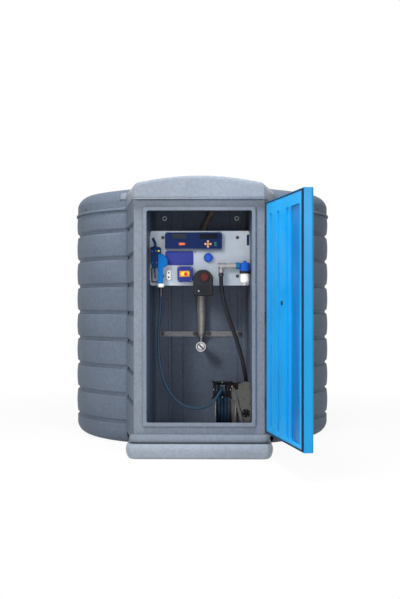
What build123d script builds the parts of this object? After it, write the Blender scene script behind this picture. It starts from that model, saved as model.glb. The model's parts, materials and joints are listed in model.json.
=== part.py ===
from build123d import *
import math
import os

# Diesel exhaust fluid tank with a dispensing cabinet
# Millimetres, +Z up, origin on the tank axis at floor level, cabinet towards -Y

# Driving sizes of the tank
tank_radius = 1115.0
tank_skin = 12.0
base_edge_radius = 100.0
groove_count = 8
groove_first = 174.0
groove_pitch = 221.0
groove_depth = 22.0
groove_mouth = 44.0
groove_floor = 16.0
band_bulge = 6.0
last_band = 165.0
ridge_reach = 6.0
ridge_height = 14.0
shoulder_rise = 172.0
shoulder_inset = 75.0
dome_rise = 76.0
manhole_radius = 240.0
manhole_neck_height = 60.0
manhole_lid_height = 26.0
eye_radius = 12.0
eye_depth = 9.0
eye_angle = 28.0

# Driving sizes of the cabinet
front_y = -1675.0
front_half = 482.0
junction_half = 600.0
panel = 12.0
opening_half = 386.0
opening_height = 1554.0
opening_sill = 82.0
opening_corner = 14.0
frame_thickness = 20.0
lip_width = 26.0
lip_height = 15.0
frame_over_wall = 19.0
hood_end_rise = 62.0
hood_corner_rise = 117.0
hood_crown_rise = 164.0
hood_corner = 52.0
hood_overhang = 40.0
hood_edge_radius = 22.0
plinth_half = 540.0
plinth_reach = 60.0
plinth_height = 112.0
plinth_corner = 60.0
step_groove = 8.0
step_height = 60.0
step_inset = 22.0
step_reach = 37.0
floor_under_step = 30.0
ceiling_drop = 25.0
room_depth = 655.0
back_half = 368.0
back_corner = 40.0
flute_depth = 14.0
flute_width = 46.0
flute_pitch = 96.0
flute_margin = 60.0
grommet_radius = 19.0

# Driving sizes of the door
door_open = 101.0
door_thickness = 65.0
door_floor_gap = 10.0
door_head_gap = 27.0
door_gap = 5.0
lining_thickness = 12.0
seal_width = 17.0
seal_inset = 8.0
seal_corner = 4.0
door_edge_radius = 16.0
hinge_clearance = 5.0
hinge_radius = 8.0
hinge_pin_radius = 4.0
hinge_play = 0.3
knuckle = 28.0
lock_distance = 465.0

# Driving sizes of the gear in the cabinet
plate_setback = 245.0
plate_thickness = 4.0
plate_height = 412.0
plate_head_gap = 222.0
fit_gap = 4.0
seat_gap = 0.3
fill_radius = 32.0
riser_radius = 22.0
fill_x = 5.0
coupling_radius = 39.0
coupling_length = 70.0
coupling_height = 800.0
strap_height = 42.0
strap_gap = 10.0
strap_over_coupling = 70.0
hose_radius = 11.0
supply_radius = 15.0
cable_radius = 3.5
reel_x = 193.0
reel_width = 154.0
reel_flange_radius = 180.0
reel_core_radius = 82.0
reel_wound_radius = 140.0
reel_axle_radius = 14.0
reel_sheet = 5.0
reel_floor_gap = 10.0
reel_depth = 275.0

# Values worked out from the driving sizes
wall_top = groove_first + groove_pitch * (groove_count - 1) + last_band
junction_y = -math.sqrt(tank_radius ** 2 - junction_half ** 2)
cabinet_depth = junction_y - front_y
frame_back = front_y + frame_thickness
flare = (junction_half - front_half) / cabinet_depth
frame_top = wall_top + frame_over_wall
step_bottom = plinth_height + step_groove
step_top = step_bottom + step_height
cabinet_floor = step_top - floor_under_step
cabinet_ceiling = frame_top - ceiling_drop
opening_bottom = step_top + opening_sill
opening_top = opening_bottom + opening_height
back_y = frame_back + room_depth
lip_front = front_y - lip_height
lining_face = lip_front - door_gap
door_inner = lining_face - lining_thickness
door_outer = door_inner - door_thickness
door_bottom = step_top + door_floor_gap
door_top = frame_top - door_head_gap
axis_x = front_half + hinge_clearance
axis_y = door_inner + hinge_radius
plate_front = front_y + plate_setback
plate_back = plate_front + plate_thickness
plate_top = frame_top - plate_head_gap
plate_bottom = plate_top - plate_height
plate_half = opening_half - 3 * fit_gap
pipe_y = back_y - fill_radius - strap_gap - 8
strap_bottom = coupling_height + strap_over_coupling
strap_top = strap_bottom + strap_height
reel_left = reel_x - reel_width / 2
reel_right = reel_x + reel_width / 2
reel_y = front_y + reel_depth
reel_z = cabinet_floor + reel_floor_gap + reel_flange_radius


def block(x0, x1, y0, y1, z0, z1):
    centre = ((x0 + x1) / 2, (y0 + y1) / 2, (z0 + z1) / 2)
    return Pos(*centre) * Box(abs(x1 - x0), abs(y1 - y0), abs(z1 - z0))


def rod_x(x0, x1, y, z, radius):
    return Pos((x0 + x1) / 2, y, z) * Rot(0, 90, 0) * Cylinder(radius, abs(x1 - x0))


def rod_y(x, y0, y1, z, radius):
    return Pos(x, (y0 + y1) / 2, z) * Rot(90, 0, 0) * Cylinder(radius, abs(y1 - y0))


def rod_z(x, y, z0, z1, radius):
    return Pos(x, y, (z0 + z1) / 2) * Cylinder(radius, abs(z1 - z0))


def rod_between(start, end, radius):
    run = Vector(*end) - Vector(*start)
    place = Plane(origin=start, z_dir=run)
    return extrude(place * Circle(radius), run.length)


def plan_prism(points, z0, z1):
    outline = make_face(Polyline(*[(x, y, z0) for x, y in points], close=True))
    return extrude(outline, z1 - z0, dir=(0, 0, 1))


def side_prism(points, x0, x1):
    outline = make_face(Polyline(*[(x0, y, z) for y, z in points], close=True))
    return extrude(outline, x1 - x0, dir=(1, 0, 0))


def front_prism(points, y0, y1):
    outline = make_face(Polyline(*[(x, y0, z) for x, z in points], close=True))
    return extrude(outline, y1 - y0, dir=(0, 1, 0))


def rounded_front(x0, x1, y0, y1, z0, z1, radius):
    return fillet(block(x0, x1, y0, y1, z0, z1).edges().filter_by(Axis.Y), radius)


def turned_y(x, z, profile):
    # A turned piece about an axis along Y: profile holds (radius, y) pairs
    outline = Polyline(*[(x + radius, y, z) for radius, y in profile], close=True)
    return revolve(make_face(outline), Axis((x, 0, z), (0, 1, 0)), 360)


def turned_x(y, z, profile):
    outline = Polyline(*[(x, y, z + radius) for radius, x in profile], close=True)
    return revolve(make_face(outline), Axis((0, y, z), (1, 0, 0)), 360)


def save(name, shape):
    if isinstance(shape, (list, ShapeList)):
        shape = Compound(children=list(shape))
    shape.label = name
    export_step(shape, "parts/" + name + ".step")


# Round tank
def groove_heights():
    return [groove_first + groove_pitch * index for index in range(groove_count)]


def wall_profile():
    inner = tank_radius - groove_depth - tank_skin
    foot = tank_radius - base_edge_radius
    crest = tank_radius - band_bulge
    bend = base_edge_radius * (1 - math.sqrt(0.5))
    inside_radius = base_edge_radius - tank_skin
    inside_turn = math.asin(min(1.0, (inner - foot) / inside_radius))

    def inside_point(angle):
        along = foot + inside_radius * math.sin(angle)
        return (along, 0, base_edge_radius - inside_radius * math.cos(angle))

    last = (crest, 0, base_edge_radius)
    edges = [
        Line((inner, 0, wall_top), inside_point(inside_turn)),
        ThreePointArc(inside_point(inside_turn), inside_point(inside_turn / 2), inside_point(0)),
        Line(inside_point(0), (foot - tank_skin, 0, tank_skin)),
        Line((foot - tank_skin, 0, tank_skin), (foot - tank_skin, 0, 0)),
        Line((foot - tank_skin, 0, 0), (foot, 0, 0)),
        ThreePointArc((foot, 0, 0), (crest - bend, 0, bend), last),
    ]
    for height in groove_heights():
        low = (crest, 0, height - groove_mouth / 2)
        floor_low = (tank_radius - groove_depth, 0, height - groove_floor / 2)
        floor_high = (tank_radius - groove_depth, 0, height + groove_floor / 2)
        high = (crest, 0, height + groove_mouth / 2)
        if low[2] - last[2] > 2 * groove_mouth:
            middle = (tank_radius, 0, (low[2] + last[2]) / 2)
            edges.append(ThreePointArc(last, middle, low))
        else:
            edges.append(Line(last, low))
        edges += [Line(low, floor_low), Line(floor_low, floor_high), Line(floor_high, high)]
        last = high
    rim = (crest, 0, wall_top)
    edges.append(ThreePointArc(last, (tank_radius, 0, (last[2] + wall_top) / 2), rim))
    edges.append(Line(rim, (inner, 0, wall_top)))
    return make_face(edges)


def tank_wall(start, sweep_angle):
    return Rot(0, 0, start) * revolve(wall_profile(), Axis.Z, sweep_angle)


def cabinet_cut(z0, z1):
    return block(-junction_half, junction_half, front_y - 200, junction_y, z0, z1)


def dome_edges(drop):
    # Shoulder and dome of the roof, drop below the outer face
    shoulder_z = wall_top + shoulder_rise - drop
    shoulder_r = tank_radius - shoulder_inset
    side_r = tank_radius - ridge_reach - drop
    side = (side_r, 0, wall_top + shoulder_rise / 2)
    turn = (side_r - 0.28 * shoulder_inset, 0, shoulder_z - 0.22 * shoulder_rise)
    shoulder = (shoulder_r, 0, shoulder_z)
    crown = (manhole_radius, 0, shoulder_z + dome_rise)
    middle = ((shoulder_r + manhole_radius) / 2, 0, shoulder_z + 0.72 * dome_rise)
    edges = [ThreePointArc(side, turn, shoulder), ThreePointArc(shoulder, middle, crown)]
    edges.append(Line(crown, (0, 0, crown[2])))
    return side, edges, crown[2]


def roof():
    rim = tank_radius + ridge_reach
    side, outer_edges, outer_crown = dome_edges(0)
    inner_side, inner_edges, inner_crown = dome_edges(tank_skin)
    seat = (inner_side[0], 0, wall_top)
    edges = [
        Line(seat, (rim, 0, wall_top)),
        Line((rim, 0, wall_top), (rim, 0, wall_top + ridge_height)),
        Line((rim, 0, wall_top + ridge_height), (side[0], 0, wall_top + 1.6 * ridge_height)),
        Line((side[0], 0, wall_top + 1.6 * ridge_height), side),
        *outer_edges,
        Line((0, 0, outer_crown), (0, 0, inner_crown)),
        *inner_edges,
        Line(inner_side, seat),
    ]
    dome = revolve(make_face(edges), Axis.Z, 360)
    for angle in (eye_angle, 180 - eye_angle, 180 + eye_angle, -eye_angle):
        eye = rod_x(side[0] - eye_depth, tank_radius + 20, 0, wall_top + 38, eye_radius)
        dome -= Rot(0, 0, angle) * eye
    return dome - cabinet_cut(wall_top - 10, outer_crown + 10)


os.makedirs("parts", exist_ok=True)
junction_angle = math.degrees(math.asin(junction_half / tank_radius))
wall_span = (360 - 2 * junction_angle) / 3
for index, name in enumerate(("tank_wall_right", "tank_wall_rear", "tank_wall_left")):
    save(name, tank_wall(-90 + junction_angle + index * wall_span, wall_span))
floor_radius = tank_radius - base_edge_radius - tank_skin
save("tank_floor", rod_z(0, 0, 0, tank_skin, floor_radius) - cabinet_cut(-1, 2 * tank_skin))
save("tank_roof", roof())
crown_z = wall_top + shoulder_rise + dome_rise
neck_outer = manhole_radius - 20
manhole_neck = rod_z(0, 0, crown_z, crown_z + manhole_neck_height, neck_outer)
manhole_neck -= rod_z(0, 0, crown_z - 1, crown_z + manhole_neck_height + 1, neck_outer - tank_skin)
save("manhole_neck", manhole_neck)
lid_z = crown_z + manhole_neck_height
lid = rod_z(0, 0, lid_z, lid_z + manhole_lid_height, manhole_radius)
lid = fillet(lid.edges().sort_by(Axis.Z)[-1], 10)
for index in range(12):
    spot = Rot(0, 0, index * 30) * Pos(manhole_radius, 0, lid_z + manhole_lid_height / 2)
    lid -= spot * Cylinder(14, manhole_lid_height + 2)
save("manhole_lid", lid)


# Cabinet shell
def hood_section(y, half, end_rise, corner_rise, crown_rise):
    base = frame_top
    end = base + end_rise
    corner = base + corner_rise
    inset = half - hood_corner
    bend = (half - 0.24 * hood_corner, y, end + 0.66 * (corner - end))
    edges = [Line((-half, y, base), (half, y, base)), Line((half, y, base), (half, y, end))]
    edges.append(ThreePointArc((half, y, end), bend, (inset, y, corner)))
    edges.append(ThreePointArc((inset, y, corner), (0, y, base + crown_rise), (-inset, y, corner)))
    edges.append(ThreePointArc((-inset, y, corner), (-bend[0], y, bend[2]), (-half, y, end)))
    edges.append(Line((-half, y, end), (-half, y, base)))
    return make_face(edges)


def hood():
    front = front_y - hood_overhang
    solid = loft([
        hood_section(front, front_half, hood_end_rise, hood_corner_rise, hood_crown_rise),
        hood_section(junction_y, junction_half, hood_end_rise + 8, hood_corner_rise + 26, hood_crown_rise + 10),
    ])
    edges = solid.faces().sort_by(Axis.Y)[0].edges().sort_by(Axis.Z)[1:]
    return fillet(edges, hood_edge_radius)


def cabinet_side(side):
    reach = flare * frame_thickness
    depth = panel + groove_depth
    outer_front = (side * (front_half + reach), frame_back)
    outer_back = (side * junction_half, junction_y)
    inner_front = (side * (front_half + reach - depth), frame_back)
    inner_back = (side * (junction_half - depth), junction_y)
    solid = plan_prism([outer_front, outer_back, inner_back, inner_front], step_top, frame_top)
    run = Vector(outer_back[0] - outer_front[0], outer_back[1] - outer_front[1], 0)
    for height in groove_heights():
        if height - groove_mouth / 2 > step_top and height + groove_mouth / 2 < frame_top:
            start = Vector(outer_front[0], outer_front[1], height) - run.normalized() * 20
            place = Plane(origin=start, x_dir=(-side, 0, 0), z_dir=run)
            notch = make_face(place * Polyline(
                (-2, -groove_mouth / 2), (groove_depth, -groove_floor / 2),
                (groove_depth, groove_floor / 2), (-2, groove_mouth / 2), close=True))
            solid -= extrude(notch, run.length + 40, dir=run)
    return solid


def front_ring(half, bottom, top, inner_half, inner_bottom, inner_top, corner, y0, y1):
    place = Plane(origin=(0, y1, (bottom + top) / 2), x_dir=(1, 0, 0), z_dir=(0, -1, 0))
    ring = extrude(place * Rectangle(2 * half, top - bottom), y1 - y0)
    hole_place = Plane(origin=(0, y1 + 1, (inner_bottom + inner_top) / 2), x_dir=(1, 0, 0), z_dir=(0, -1, 0))
    hole = extrude(hole_place * RectangleRounded(2 * inner_half, inner_top - inner_bottom, corner), y1 - y0 + 2)
    return ring - hole


def frame():
    solid = front_ring(front_half, step_top, frame_top, opening_half, opening_bottom, opening_top,
                       opening_corner, front_y, frame_back)
    solid = fillet(solid.edges().filter_by(Axis.Z).group_by(Axis.Y)[0].sort_by(Axis.X)[::3], 9)
    lip = front_ring(opening_half + lip_width, opening_bottom - lip_width, opening_top + lip_width,
                     opening_half, opening_bottom, opening_top, opening_corner, lip_front, front_y)
    outer_edges = lip.edges().filter_by(Axis.Y)
    lip_corners = outer_edges.filter_by(lambda edge: abs(edge.center().X) > opening_half + lip_width - 1)
    lip = fillet(lip_corners, opening_corner)
    return solid + lip


def plinth():
    back = junction_y + 20
    plinth_front = front_y - plinth_reach
    foot = block(-plinth_half, plinth_half, plinth_front, back, 0, plinth_height)
    foot = fillet(foot.edges().filter_by(Axis.Y).sort_by(Axis.Z)[:2], plinth_corner)
    foot = fillet(foot.edges().filter_by(Axis.X).filter_by(lambda edge: edge.center().Z > 1).sort_by(Axis.Y)[0], 12)
    step_half = plinth_half - step_inset
    step = block(-step_half, step_half, front_y - step_reach, back, step_bottom, step_top)
    step = fillet(step.edges().filter_by(Axis.Y).sort_by(Axis.Z)[2:], 26)
    neck = block(-step_half + 18, step_half - 18, front_y - step_reach + 20, back, plinth_height, step_bottom)
    solid = foot + neck + step
    solid -= rod_z(0, 0, -1, step_top + 1, tank_radius + 2)
    inside = opening_half + panel
    return solid - block(-inside, inside, frame_back, back + 1, cabinet_floor - panel, step_top + 1)


def liner_half(y):
    share = (y - frame_back) / (back_y - back_corner - frame_back)
    return opening_half + (back_half - opening_half) * share


def liner_side(side):
    z = cabinet_floor
    bend_y = back_y - back_corner
    flat = back_half - back_corner
    turn = back_corner * math.sqrt(0.5)
    far_turn = (back_corner + panel) * math.sqrt(0.5)
    front = (side * opening_half, frame_back, z)
    back = (side * back_half, bend_y, z)
    middle = (side * (flat + turn), bend_y + turn, z)
    end = (side * flat, back_y, z)
    far_end = (side * flat, back_y + panel, z)
    far_middle = (side * (flat + far_turn), bend_y + far_turn, z)
    far_back = (side * (back_half + panel), bend_y, z)
    far_front = (side * (opening_half + panel), frame_back, z)
    edges = [
        Line(front, back), ThreePointArc(back, middle, end), Line(end, far_end),
        ThreePointArc(far_end, far_middle, far_back), Line(far_back, far_front), Line(far_front, front),
    ]
    return extrude(make_face(edges), cabinet_ceiling - cabinet_floor, dir=(0, 0, 1))


def liner_back():
    half = back_half - back_corner
    solid = block(-half, half, back_y, back_y + panel + flute_depth, cabinet_floor, cabinet_ceiling)
    count = int((2 * half - flute_width) // flute_pitch) + 1
    for index in range(count):
        x = (index - (count - 1) / 2) * flute_pitch
        points = [(x - flute_width / 2, back_y - 1), (x + flute_width / 2, back_y - 1),
                  (x + flute_width / 3, back_y + flute_depth), (x - flute_width / 3, back_y + flute_depth)]
        solid -= plan_prism(points, cabinet_floor + flute_margin, cabinet_ceiling - flute_margin)
    return solid


def liner_slab(z0, z1):
    points = [(-opening_half, frame_back), (opening_half, frame_back), (back_half, back_y), (-back_half, back_y)]
    return plan_prism(points, z0, z1)


save("cabinet_frame", frame())
save("cabinet_side_left", cabinet_side(-1))
save("cabinet_side_right", cabinet_side(1))
save("cabinet_hood", hood())
save("cabinet_plinth", plinth())
save("liner_left", liner_side(-1))
save("liner_right", liner_side(1))
save("liner_back", liner_back())
save("liner_floor", liner_slab(cabinet_floor - panel, cabinet_floor))
save("liner_ceiling", liner_slab(cabinet_ceiling, cabinet_ceiling + panel))
grommets = []
for x in (-flute_pitch * 3, flute_pitch * 3):
    ring = rod_y(x, back_y - 6, back_y, cabinet_ceiling - 68, grommet_radius)
    grommets.append(ring - rod_y(x, back_y - 7, back_y + 1, cabinet_ceiling - 68, grommet_radius * 0.55))
save("grommets", grommets)


# Door, drawn closed and then swung open about its hinge axis
lock_height = (door_bottom + door_top) / 2 + 107
hinge_heights = [opening_bottom + 138 + (opening_height - 286) / 2 * index for index in range(3)]
lining_half = front_half - seal_inset - seal_width
lining_bottom = door_bottom + seal_inset + seal_width
lining_top = door_top - seal_inset - seal_width
door_flutes = ((148, 56), (364, 60), (606, 80), (796, 226))


def swing(shape):
    return Pos(axis_x, axis_y, 0) * Rot(0, 0, door_open) * Pos(-axis_x, -axis_y, 0) * shape


def door_shell():
    solid = block(-front_half, front_half, door_outer, door_inner, door_bottom, door_top)
    solid = fillet(solid.edges().filter_by(Axis.Z).sort_by(Axis.Y)[:2], door_edge_radius)
    field = block(-front_half + 70, front_half - 70, door_outer - 1, door_outer + 8, door_bottom + 70, door_top - 70)
    return solid - fillet(field.edges().filter_by(Axis.Y), 40)


def door_lock():
    x = axis_x - lock_distance
    return rounded_front(x - 20, x + 20, door_inner, lining_face + 2, lock_height - 14, lock_height + 14, 6)


def door_lining():
    solid = rounded_front(-lining_half, lining_half, door_inner, lining_face, lining_bottom, lining_top, seal_corner)
    for distance, width in door_flutes:
        x = axis_x - distance
        flute = block(x - width / 2, x + width / 2, door_inner + 2, lining_face + 1,
                      door_bottom + 45, door_top - 96)
        solid -= fillet(flute.edges().filter_by(Axis.Y), min(20, 0.45 * width))
    return solid - door_lock()


def door_seal():
    outer = front_half - seal_inset
    low = door_bottom + seal_inset
    high = door_top - seal_inset
    return front_ring(outer, low, high, lining_half, lining_bottom, lining_top, seal_corner,
                      door_inner, front_y - door_gap)


save("door_panel", swing(door_shell()))
save("door_lining", swing(door_lining()))
save("door_seal", swing(door_seal()))
save("door_lock", swing(door_lock()))
fixed_hinges = []
door_hinges = []
for height in hinge_heights:
    body = rod_z(axis_x, axis_y, height - 1.5 * knuckle, height + 1.5 * knuckle, hinge_pin_radius)
    for z0 in (height - 1.5 * knuckle, height + 0.5 * knuckle + 1):
        z1 = z0 + knuckle - 1
        body += rod_z(axis_x, axis_y, z0, z1, hinge_radius)
        body += block(axis_x - hinge_radius, axis_x, axis_y, front_y + 9, z0, z1)
    body -= block(-front_half, front_half, front_y, frame_back, height - 2 * knuckle, height + 2 * knuckle)
    fixed_hinges.append(body)
    z0 = height - 0.5 * knuckle + 0.5
    z1 = height + 0.5 * knuckle - 0.5
    leaf = rod_z(axis_x, axis_y, z0, z1, hinge_radius)
    leaf += block(front_half, axis_x + 3, door_inner - 30, axis_y, z0, z1)
    leaf -= block(axis_x - 20, front_half, door_outer - 1, door_inner, z0 - 1, z1 + 1)
    leaf -= rod_z(axis_x, axis_y, z0 - 1, z1 + 1, hinge_pin_radius + hinge_play)
    door_hinges.append(swing(leaf))
save("hinge_brackets", fixed_hinges)
save("door_hinges", door_hinges)

# Mounting plate
plate_holes = 9.0
plate = block(-plate_half, plate_half, plate_front, plate_back, plate_bottom, plate_top)
plate = fillet(plate.edges().filter_by(Axis.Y), 12)
for x in (-0.75 * plate_half, 0.76 * plate_half):
    for z in (plate_bottom + 70, plate_top - 50):
        plate -= rod_y(x, plate_front - 1, plate_back + 1, z, plate_holes)
save("mounting_plate", plate)
bracket_depth = 30.0
brackets = []
for side in (-1, 1):
    inner = side * (plate_half - bracket_depth)
    deep = plate_back + bracket_depth
    near_wall = (side * liner_half(plate_back), plate_back)
    far_wall = (side * liner_half(deep), deep)
    points = [(inner, plate_back), near_wall, far_wall, (inner, deep)]
    brackets.append(plan_prism(points, plate_bottom + 40, plate_top - 40))
save("plate_brackets", brackets)

# Control unit with its keys, the blank panel and the gauge
control_left = -261.0
control_width = 428.0
control_height = 135.0
control_depth = 50.0
control_top = plate_top - 11
control_bottom = control_top - control_height
control_face = plate_front - control_depth
key_x = 62.0
key_size = 16.0
button_x = -133.0


def window(x, width, top_margin, height):
    top = control_top - top_margin
    return rounded_front(x, x + width, control_face - 1, control_face + 4, top - height, top, 5)


control = rounded_front(control_left, control_left + control_width, control_face, plate_front,
                        control_bottom, control_top, 16)
control = fillet(control.faces().sort_by(Axis.Y)[0].edges(), 5)
control -= window(-210, 112, 10, 40)
control -= window(0, 138, 14, 38)
save("control_unit", control)
key_z = control_bottom + 45
button = rounded_front(button_x - 24, button_x + 24, control_face - 8, control_face, key_z - 9, key_z + 9, 8)
keys = [button]
for dx, dz in ((0, 0), (1, 0), (-1, 0), (0, 1), (0, -1)):
    x = key_x + dx * (key_size + 3)
    z = key_z + dz * (key_size + 3)
    half = key_size / 2
    key = rounded_front(x - half, x + half, control_face - 6, control_face, z - half, z + half, 4)
    keys.append(fillet(key.faces().sort_by(Axis.Y)[0].edges(), 1.5))
save("control_keys", keys)
info_top = control_bottom - 7
info = rounded_front(control_left, control_left + 211, plate_front - 9, plate_front, info_top - 105, info_top, 8)
info -= rounded_front(control_left + 7, control_left + 204, plate_front - 10, plate_front - 6,
                      info_top - 98, info_top - 7, 5)
save("info_panel", info)
gauge_z = control_bottom - 57
gauge_profile = [(0, plate_front), (30, plate_front), (30, plate_front - 20), (34, plate_front - 24),
                 (34, plate_front - 32), (31, plate_front - 34), (28, plate_front - 34),
                 (27, plate_front - 27), (0, plate_front - 27)]
save("gauge", turned_y(64, gauge_z, gauge_profile))

# Isolator with its turning knob, and the socket beside it
isolator_x = -110.0
isolator_z = plate_bottom + 85
isolator_half = 58.0
isolator_depth = 58.0
isolator_face = plate_front - isolator_depth
spindle_radius = 6.0
isolator = rounded_front(isolator_x - isolator_half, isolator_x + isolator_half, isolator_face, plate_front,
                         isolator_z - isolator_half, isolator_z + isolator_half, 14)
isolator = fillet(isolator.faces().sort_by(Axis.Y)[0].edges(), 6)
isolator += rounded_front(isolator_x - 40, isolator_x + 40, isolator_face - 3, isolator_face,
                          isolator_z - 34, isolator_z + 34, 8)
isolator -= rod_y(isolator_x, isolator_face - 4, isolator_face + 20, isolator_z, spindle_radius + seat_gap)
save("isolator_box", isolator)
knob_back = isolator_face - 3 - seat_gap
knob_profile = [(0, knob_back), (25, knob_back), (25, knob_back - 7), (21, knob_back - 20), (0, knob_back - 20)]
knob = turned_y(isolator_x, isolator_z, knob_profile)
knob += rounded_front(isolator_x - 8, isolator_x + 8, knob_back - 32, knob_back - 5,
                      isolator_z - 32, isolator_z + 32, 7)
knob += rod_y(isolator_x, knob_back, isolator_face + 18, isolator_z, spindle_radius)
save("isolator_knob", knob)
socket_x = -234.0
socket_face = plate_front - 26
socket = rounded_front(socket_x - 17, socket_x + 17, socket_face, plate_front,
                       isolator_z - 44, isolator_z + 30, 15)
socket = fillet(socket.faces().sort_by(Axis.Y)[0].edges(), 4)
for z in (isolator_z - 24, isolator_z + 10):
    socket -= turned_y(socket_x, z, [(0, socket_face - 1), (8, socket_face - 1), (6, socket_face + 9), (0, socket_face + 9)])
save("power_socket", socket)

# Filter with its pipe
filter_x = 338.0
filter_y = plate_front - 70
filter_radius = 37.0
filter_top = plate_top - 241
head_bottom = filter_top - 64
ring_bottom = head_bottom - 20
bowl_bottom = ring_bottom - 74
head = rod_z(filter_x, filter_y, head_bottom, filter_top, filter_radius)
head = fillet(head.edges().sort_by(Axis.Z)[-1], 14)
head += block(filter_x - 26, filter_x + 26, filter_y, plate_front, head_bottom + 14, filter_top - 12)
head += rod_z(filter_x, filter_y, filter_top - 5, filter_top + 12, 11)
save("filter_head", head)
ring = rod_z(filter_x, filter_y, ring_bottom, head_bottom, filter_radius + 2)
for index in range(16):
    ring -= Pos(filter_x, filter_y, 0) * Rot(0, 0, index * 22.5) * rod_z(filter_radius + 4, 0, ring_bottom - 1, head_bottom + 1, 4)
save("filter_ring", ring)
bowl = rod_z(filter_x, filter_y, bowl_bottom, ring_bottom, filter_radius - 3)
bowl = fillet(bowl.edges().sort_by(Axis.Z)[0], 22)
bowl += rod_z(filter_x, filter_y, bowl_bottom - 10, bowl_bottom + 2, 9)
save("filter_bowl", bowl)
pipe_z = filter_top - 25
pipe_left = 140.0
drop_x = 160.0
port_x = filter_x - filter_radius
pipe = rod_x(pipe_left, port_x - 34, filter_y, pipe_z, 19)
pipe += rod_x(port_x - 34, port_x + 20, filter_y, pipe_z, 15)
nut = extrude(Plane(origin=(port_x - 40, filter_y, pipe_z), z_dir=(1, 0, 0)) * RegularPolygon(24, 6), 36)
pipe += nut
pipe += rod_z(drop_x, filter_y, pipe_z - 52, pipe_z, supply_radius)
pipe += extrude(Plane(origin=(drop_x, filter_y, pipe_z - 50), z_dir=(0, 0, 1)) * RegularPolygon(19, 6), 18)
pipe -= rod_z(filter_x, filter_y, ring_bottom, filter_top, filter_radius)
save("filter_pipe", pipe)

# Pump housing
pump_x = 26.0
pump_radius = 74.0
pump_depth = 130.0
pump_z = plate_bottom + 43
pump_bottom = pump_z - 123
pump_face = plate_front - pump_depth
dial_radius = 31.0
house = rod_y(pump_x, pump_face, plate_front, pump_z, pump_radius)
house += block(pump_x - pump_radius, pump_x + pump_radius, pump_face, plate_front, pump_bottom, pump_z)
house = fillet(house.edges().filter_by(Axis.Y).group_by(Axis.Z)[0], 22)
house = fillet(house.faces().sort_by(Axis.Y)[0].edges(), 12)
for index in range(4):
    rib_z = pump_bottom + 22 + index * 16
    house -= block(pump_x - 46, pump_x + 46, pump_face - 1, pump_face + 5, rib_z, rib_z + 6)
dial_x = pump_x + 11
dial_z = pump_z + 17
house -= rod_y(dial_x, pump_face - 1, pump_face + 6, dial_z, dial_radius + 4)
save("pump_housing", house)
dial_profile = [(0, pump_face + 6), (dial_radius, pump_face + 6), (dial_radius, pump_face - 4),
                (dial_radius - 5, pump_face - 8), (0, pump_face - 8)]
save("pump_dial", turned_y(dial_x, dial_z, dial_profile))

# Fill line down the back of the cabinet
sleeve_top = plate_bottom + 30
sleeve_bottom = coupling_height + 92
neck_radius = 15.0
neck_reach = 120.0
riser_top_x = fill_x + 96
riser_foot = plate_top + 22
riser = rod_between((riser_top_x, pipe_y, cabinet_ceiling + 40), (fill_x, pipe_y, riser_foot), riser_radius)
riser += Pos(fill_x, pipe_y, riser_foot) * Sphere(riser_radius)
riser += rod_z(fill_x, pipe_y, plate_top - 100, riser_foot, riser_radius)
riser -= block(fill_x, riser_top_x + 99, pipe_y - 99, pipe_y + 60, cabinet_ceiling, cabinet_ceiling + 99)
save("riser_pipe", riser)
fill_profile = [
    (0, sleeve_bottom), (fill_radius - 9, sleeve_bottom), (fill_radius - 6, sleeve_bottom + 8),
    (fill_radius, sleeve_top - 40), (fill_radius, sleeve_top), (riser_radius, sleeve_top + 30),
    (riser_radius, plate_top - 100), (0, plate_top - 100),
]
fill_outline = Polyline(*[(fill_x + radius, pipe_y, z) for radius, z in fill_profile], close=True)
save("fill_pipe", revolve(make_face(fill_outline), Axis((fill_x, pipe_y, 0), (0, 0, 1)), 360))
neck = rod_z(fill_x, pipe_y, coupling_height, sleeve_bottom, neck_radius)
neck += Pos(fill_x, pipe_y, coupling_height) * Sphere(24)
neck += rod_y(fill_x, pipe_y - neck_reach, pipe_y, coupling_height, 21)
neck += rod_z(fill_x, pipe_y, sleeve_bottom - 26, sleeve_bottom - 6, 21)
save("fill_elbow", neck)
coupling_back = pipe_y - neck_reach
coupling_front = coupling_back - coupling_length
coupling = rod_y(fill_x, coupling_front, coupling_back, coupling_height, coupling_radius)
dish = [(0, coupling_front - 1), (31, coupling_front - 1), (24, coupling_front + 16), (0, coupling_front + 16)]
save("fill_coupling", coupling - turned_y(fill_x, coupling_height, dish))
strap_half = back_half - back_corner - fit_gap
clamp_radius = 28.0
strap_middle = (strap_bottom + strap_top) / 2
strap = rounded_front(-strap_half, strap_half, back_y - 8, back_y, strap_bottom, strap_top, 6)
strap += block(fill_x - 14, fill_x + 14, pipe_y + 10, back_y - 8, strap_bottom + 6, strap_top - 6)
strap += rod_z(fill_x, pipe_y, strap_bottom + 2, strap_top - 2, clamp_radius + 5)
strap -= rod_z(fill_x, pipe_y, strap_bottom - 1, strap_top + 1, clamp_radius)
save("wall_strap", strap)

# Nozzle hung in its holder
nozzle_y = plate_front - 70
nozzle_half = 22.0
nozzle_left = -368.0
nozzle_top = control_top - 121
grip_split = -312.0
grip_bottom = nozzle_top - 268
holder_bottom = nozzle_top - 121
holder = block(nozzle_left - 4, -292, nozzle_y + nozzle_half + 4, plate_front, holder_bottom, nozzle_top + 9)
holder = fillet(holder.edges().filter_by(Axis.Y), 12)
holder += block(nozzle_left + 18, -330, nozzle_y + nozzle_half, nozzle_y + nozzle_half + 4,
                holder_bottom + 20, nozzle_top - 30)
save("nozzle_holder", holder)


def nozzle_slice(points, half, radius):
    shape = front_prism([(x, nozzle_top + drop) for x, drop in points], nozzle_y - half, nozzle_y + half)
    return fillet(shape.edges().filter_by(Axis.Y), radius)


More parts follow.
